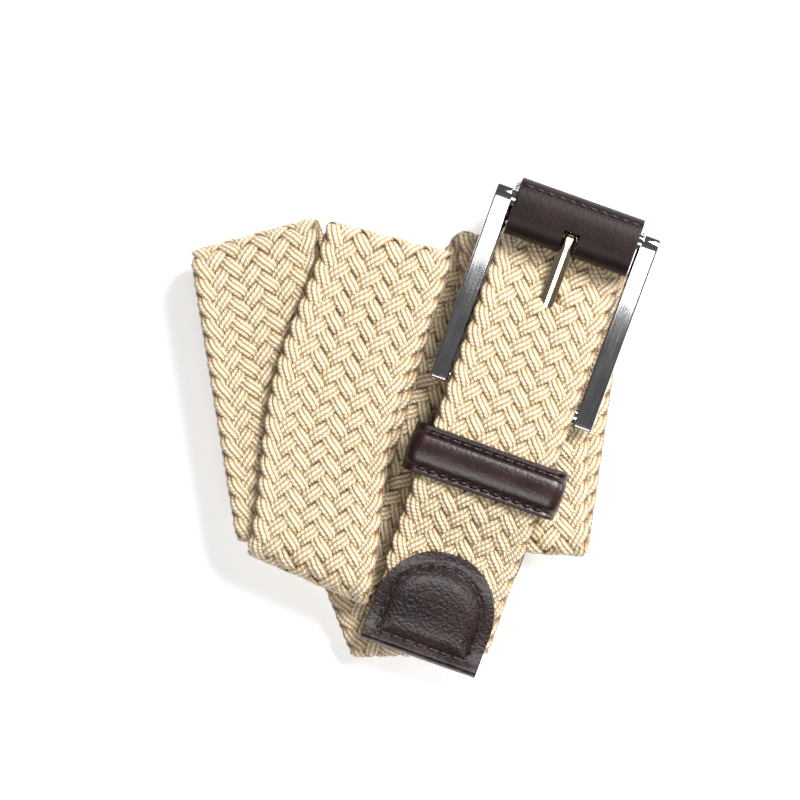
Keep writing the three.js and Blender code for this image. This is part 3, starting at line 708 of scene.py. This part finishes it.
def prong_shank():
    """A rounded, ridged section carried down a straight line, then level, with a round start."""
    length = BAR_SPAN + 0.5 * BAR_WIDTH - 0.0002
    under_bar = (BAR_SPAN - 0.9 * BAR_WIDTH) / length
    nose = SHANK_START / length
    share = np.concatenate([nose + 0.04 * (1 - np.cos(np.linspace(0, 0.5, 14) * np.pi)),
                            np.linspace(nose + 0.045, 1, 60)])
    size = np.interp(share, [0, 0.16, 0.5, under_bar, 1], [1, 1, 0.95, 0.8, 0.6])
    body = np.interp(share, [0, 0.16, 1], [0.7, 1, 1])
    to_end = np.minimum((1 - share) / 0.03, (share - nose) / 0.04)
    blunt = np.sqrt(np.clip(1 - (1 - np.clip(to_end, 0, 1)) ** 2, 0.02, 1))
    angle = np.arange(20) / 20 * 2 * np.pi
    wide = np.sign(np.cos(angle)) * np.abs(np.cos(angle)) ** 0.85
    ridge = np.where(np.sin(angle) > 0, 1 - np.sqrt(wide ** 2 + 0.02) * 0.75, np.sin(angle))
    high = mix(np.sin(angle)[None, :], ridge[None, :], smooth((share - nose - 0.02) / 0.1)[:, None])
    x = wide[None, :] * (size * blunt * PRONG_WIDTH / 2)[:, None]
    z = prong_level(share * length)[:, None] + high * (body * blunt * PRONG_THICK / 2)[:, None]
    return at_buckle(x, -(share * length)[:, None], z), share * length


shank_points, shank_place = prong_shank()
shank = grid_piece("prong_shank", shank_points[None], shank_place, np.arange(21) * 0.0005)
turn = np.linspace(0, 2 * np.pi, 49)[:-1]
band = np.radians([20, 45, 70, 110, 135, 160, 200, 225, 250, 290, 315, 340])
band_x = np.sign(np.cos(band)) * np.abs(np.cos(band)) ** 0.5 * 0.45 * PRONG_WIDTH
band_r = np.sign(np.sin(band)) * np.abs(np.sin(band)) ** 0.5 * EYE_WALL / 2
eye_y = (BAR_WIDTH / 2 + EYE_CLEARANCE + EYE_WALL / 2 + band_r) * np.cos(turn)[:, None]
eye_z = HEEL_Z + (BAR_THICK / 2 + EYE_CLEARANCE + EYE_WALL / 2 + band_r) * np.sin(turn)[:, None]
eye = grid_piece("prong_eye", at_buckle(band_x[None, :], eye_y, eye_z)[None],
                 np.linspace(0, 0.018, 49), np.arange(13) * 0.0005, ring=True)
polished, tree, shader = material("polished light gold")
spot = node(tree, "ShaderNodeTexCoord").outputs["Object"]
wear = node(tree, "ShaderNodeTexNoise", {"Vector": spot, "Scale": 500, "Detail": 5})
rough = node(tree, "ShaderNodeMapRange", {"Value": wear.outputs["Fac"], "To Min": 0.04, "To Max": 0.16})
tint = node(tree, "ShaderNodeValToRGB", {0: wear.outputs["Fac"]})
tint.color_ramp.elements[0].color = (0.8, 0.6, 0.36, 1)
tint.color_ramp.elements[1].color = (0.95, 0.84, 0.64, 1)
tree.links.new(tint.outputs[0], shader.inputs["Base Color"])
tree.links.new(rough.outputs[0], shader.inputs["Roughness"])
shader.inputs["Metallic"].default_value = 1
for part in (shank, eye):
    part.data.materials.append(polished)
    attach(part, "root")
    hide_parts("prong")

# Keeper: a loop of the same leather round the tip run. Its upper side is padded between
# two rows of stitches, and its ends turn down round the strap's edges.
KEEPER_BAND = 0.0135
KEEPER_WALL = 0.0017
KEEPER_DOME = 0.0016
KEEPER_PLACE = 0.072
KEEPER_STITCH = 0.0018
KEEPER_ROOM = 0.0026
keeper_s = run_begin[8] + KEEPER_PLACE - np.linalg.norm(starts[8] - heel)


def keeper_frame():
    """Middle of the strap at the keeper with its three ways: along, aside and up."""
    here = strap_middle(keeper_s, 0.0)
    reach = 0.05 * lengths[8]
    ahead = unit(strap_middle(keeper_s + reach, 0.0) - strap_middle(keeper_s - reach, 0.0))
    aside = np.append(sides[8], 0)
    return here, ahead, aside, unit(np.cross(ahead, aside))


def keeper_loop(steps):
    """A flat round-cornered loop: superellipse corners joined by straight sides, with normals."""
    half_wide = STRAP_WIDTH / 2 + KEEPER_ROOM + KEEPER_WALL / 2
    half_high = HALF + FIT + KEEPER_WALL / 2
    corner = 0.9 * half_high
    turn = np.linspace(0, np.pi / 2, 9)
    quarter = np.stack([np.cos(turn), np.sin(turn)], axis=-1)
    far = np.array([half_wide - corner, half_high - corner])
    shape = np.concatenate([
        far + quarter * corner, [-1, 1] * (far + quarter[::-1] * corner),
        -far - quarter * corner, [1, -1] * (far + quarter[::-1] * corner)])
    shape = np.concatenate([shape, shape[:1]])
    travel = np.append(0, np.cumsum(np.linalg.norm(np.diff(shape, axis=0), axis=1)))
    even = np.linspace(0, travel[-1], steps + 1)[:-1]
    loop = np.stack([np.interp(even, travel, shape[:, i]) for i in range(2)], axis=-1)
    way = unit(np.roll(loop, -1, axis=0) - np.roll(loop, 1, axis=0))
    return loop, np.stack([way[:, 1], -way[:, 0]], axis=-1), even


def keeper_face(across, up_share):
    """Rise of the outer face over the band: padded in the middle, dented at the stitches."""
    edge = KEEPER_BAND / 2 - np.abs(across)
    pad = KEEPER_DOME * np.sqrt(np.clip(1 - (across / (KEEPER_BAND / 2 - KEEPER_STITCH)) ** 2, 0, 1))
    dent = 0.0004 * np.exp(-((edge - KEEPER_STITCH) / 0.0006) ** 2)
    rim = 0.0005 * (1 - np.sqrt(np.clip(1 - (1 - np.clip(edge / 0.0005, 0, 1)) ** 2, 0, 1)))
    return KEEPER_WALL / 2 + (pad - dent) * up_share - rim


loop, loop_normal, loop_place = keeper_loop(160)
up_share = smooth(loop_normal[:, 1] * 1.15)[:, None]
outer = KEEPER_BAND / 2 * np.sin(np.linspace(-1, 1, 35) * np.pi / 2)
inner = np.linspace(1, -1, 9) * (KEEPER_BAND / 2 - 0.0002)
across = np.concatenate([outer, inner])[None, :]
lift = np.concatenate([keeper_face(outer[None, :], up_share),
                       np.full((len(loop), len(inner)), -KEEPER_WALL / 2)], axis=1)
here, ahead, aside, above = keeper_frame()
flat = loop[:, None, :] + loop_normal[:, None, :] * lift[..., None]
points = (here + across[..., None] * ahead + flat[..., :1] * aside + flat[..., 1:] * above)
keeper = grid_piece("keeper_loop_padded", points[None], np.append(loop_place, 0.095),
                    np.arange(45) * 0.0007, ring=True)
keeper.data.materials.append(leather("padded brown leather", 1500, 0.6, 0.3, 0.4,
                                     (0.01, 0.0032, 0.003), (0.03, 0.0095, 0.009)))
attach(keeper, "root")
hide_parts("keeper_loop")

for sign, name in ((-1, "keeper_stitches_heel"), (1, "keeper_stitches_tip")):
    seam_w = np.linspace(-0.0182, 0.0182, 13)
    height = HALF + FIT + KEEPER_WALL + 0.00025
    place = sign * (KEEPER_BAND / 2 - KEEPER_STITCH)
    holes = here + place * ahead + seam_w[:, None] * aside + height * above
    sew(name, holes, np.tile(above, (13, 1)), THREAD)

# Tip cap: a D of grained leather folded over the strap's end and sewn all round.
# The stitches draw the leather down, so the middle stands a little proud.
CAP_WIDTH = 0.0332
STITCH_INSET = 0.0035
STITCH_PITCH = 0.0034
CAP_FOLD = 0.0015
cap_offset = HALF + FIT + LEATHER / 2
cap_end = STRAP_LENGTH + FIT
cap_round = CAP_WIDTH / 2


def cap_inset(s, w):
    """Distance in from the cap's outline: the round end, the sides and the folded edge."""
    past = np.maximum(cap_end - CAP_STRAIGHT - s, 0)
    return np.minimum(cap_round - np.hypot(past, w), cap_end + CAP_FOLD - s)


def cap_lift(s, w):
    """Puffed middle and the furrow along the stitches."""
    inset = cap_inset(s, w)
    puff = 0.00055 * smooth((inset - STITCH_INSET) / 0.004)
    return puff - 0.00028 * np.exp(-((inset - STITCH_INSET) / 0.0007) ** 2)


turn = np.linspace(0.98, 0, 34) * np.pi / 2
leaf_s = np.append(cap_end - CAP_STRAIGHT - cap_round * np.sin(turn),
                   np.linspace(cap_end - CAP_STRAIGHT, cap_end, 18)[1:])
leaf_half = np.append(cap_round * np.cos(turn), np.full(17, cap_round))
bend = np.radians(np.linspace(84, -84, 15))
cap_s = np.concatenate([leaf_s, cap_end + 0.0014 * np.cos(bend), leaf_s[::-1]])
cap_half = np.concatenate([leaf_half, np.full(15, cap_round), leaf_half[::-1]])
cap_t = np.concatenate([np.full(51, 1.0), np.sin(bend), np.full(51, -1.0)]) * cap_offset
cap_spread = np.linspace(-1, 1, 49)
cap_w = cap_spread[None, :] * cap_half[:, None]
cap_rise = cap_t[:, None] + np.sign(cap_t)[:, None] * cap_lift(cap_s[:, None], cap_w)
cap_points, _ = strap_point(cap_s[:, None], cap_w, cap_rise)
cap_travel = np.append(0, np.cumsum(np.hypot(np.diff(cap_s), np.diff(cap_t))))
cap = grid_piece("tip_cap_leather", cap_points[None], cap_travel, cap_spread * cap_round, tube=False)
thicken(cap, LEATHER, 0.0005)
cap.data.materials.append(leather("grained brown leather", 1250, 1.4, 0.32, 0.5,
                                  (0.01, 0.0032, 0.003), (0.03, 0.0095, 0.009)))
cap.data.materials.append(edge_paint)
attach(cap, "root")
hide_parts("tip_cap")

seam_round = cap_round - STITCH_INSET
round_turn = np.linspace(-np.pi / 2, np.pi / 2, 60)
straight = cap_end - CAP_STRAIGHT
last_s = cap_end + CAP_FOLD - STITCH_INSET
seam_s = np.concatenate([np.linspace(last_s, straight, 10), straight - seam_round * np.cos(round_turn),
                         np.linspace(straight, last_s, 10), np.full(12, last_s)])
seam_w = np.concatenate([np.full(10, -seam_round), seam_round * np.sin(round_turn),
                         np.full(10, seam_round), np.linspace(1, -1, 12) * seam_round])
seam_travel = np.append(0, np.cumsum(np.hypot(np.diff(seam_s), np.diff(seam_w))))
count = int(seam_travel[-1] / STITCH_PITCH)
even = np.linspace(0, seam_travel[-1], count + 1)
holes_s, holes_w = (np.interp(even, seam_travel, values) for values in (seam_s, seam_w))
holes, normals = strap_point(holes_s, holes_w, np.full(count + 1, cap_offset + LEATHER / 2 - 0.00015))
sew("cap_stitches", holes, normals, THREAD)

# Studio: a white table, a soft main light from the upper right, a weaker one from the right
# and a broad panel below the picture that whitens the heel half of the buckle's side bars.
table = bpy.data.meshes.new("table")
table.from_pydata([(-3, -3, 0), (3, -3, 0), (3, 3, 0), (-3, 3, 0)], [], [(0, 1, 2, 3)])
table_object = bpy.data.objects.new("table", table)
bpy.context.collection.objects.link(table_object)
white, tree, shader = material("white table")
shader.inputs["Base Color"].default_value = (0.92, 0.92, 0.92, 1)
shader.inputs["Roughness"].default_value = 0.9
shader.inputs["Emission Color"].default_value = (1, 1, 1, 1)
shader.inputs["Emission Strength"].default_value = 0.35
table.materials.append(white)


def soft_light(name, place, aim, width, height, power):
    """A rectangular area light at a place, turned towards an aim."""
    lamp = bpy.data.lights.new(name, "AREA")
    lamp.shape = "RECTANGLE"
    lamp.size = width
    lamp.size_y = height
    lamp.energy = power
    made = bpy.data.objects.new(name, lamp)
    made.location = place
    away = np.subtract(place, aim)
    flat = float(np.hypot(away[0], away[1]))
    made.rotation_euler = (float(np.arctan2(flat, away[2])), 0, float(np.arctan2(away[0], -away[1])))
    bpy.context.collection.objects.link(made)


soft_light("main light", (0.5, 0.42, 0.8), (0, 0, 0), 0.42, 0.42, 17)
soft_light("right light", (0.9, 0.05, 0.35), (0, 0, 0), 0.3, 0.3, 4)
soft_light("bar panel", (-0.104, -0.37, 0.9), (0.05, 0.06, 0.03), 0.7, 0.24, 4)
world = bpy.data.worlds.new("studio")
world.use_nodes = True
world.node_tree.nodes["Background"].inputs["Color"].default_value = (1, 1, 1, 1)
world.node_tree.nodes["Background"].inputs["Strength"].default_value = 0.13
bpy.context.scene.world = world
bpy.context.scene.view_settings.view_transform = "Standard"
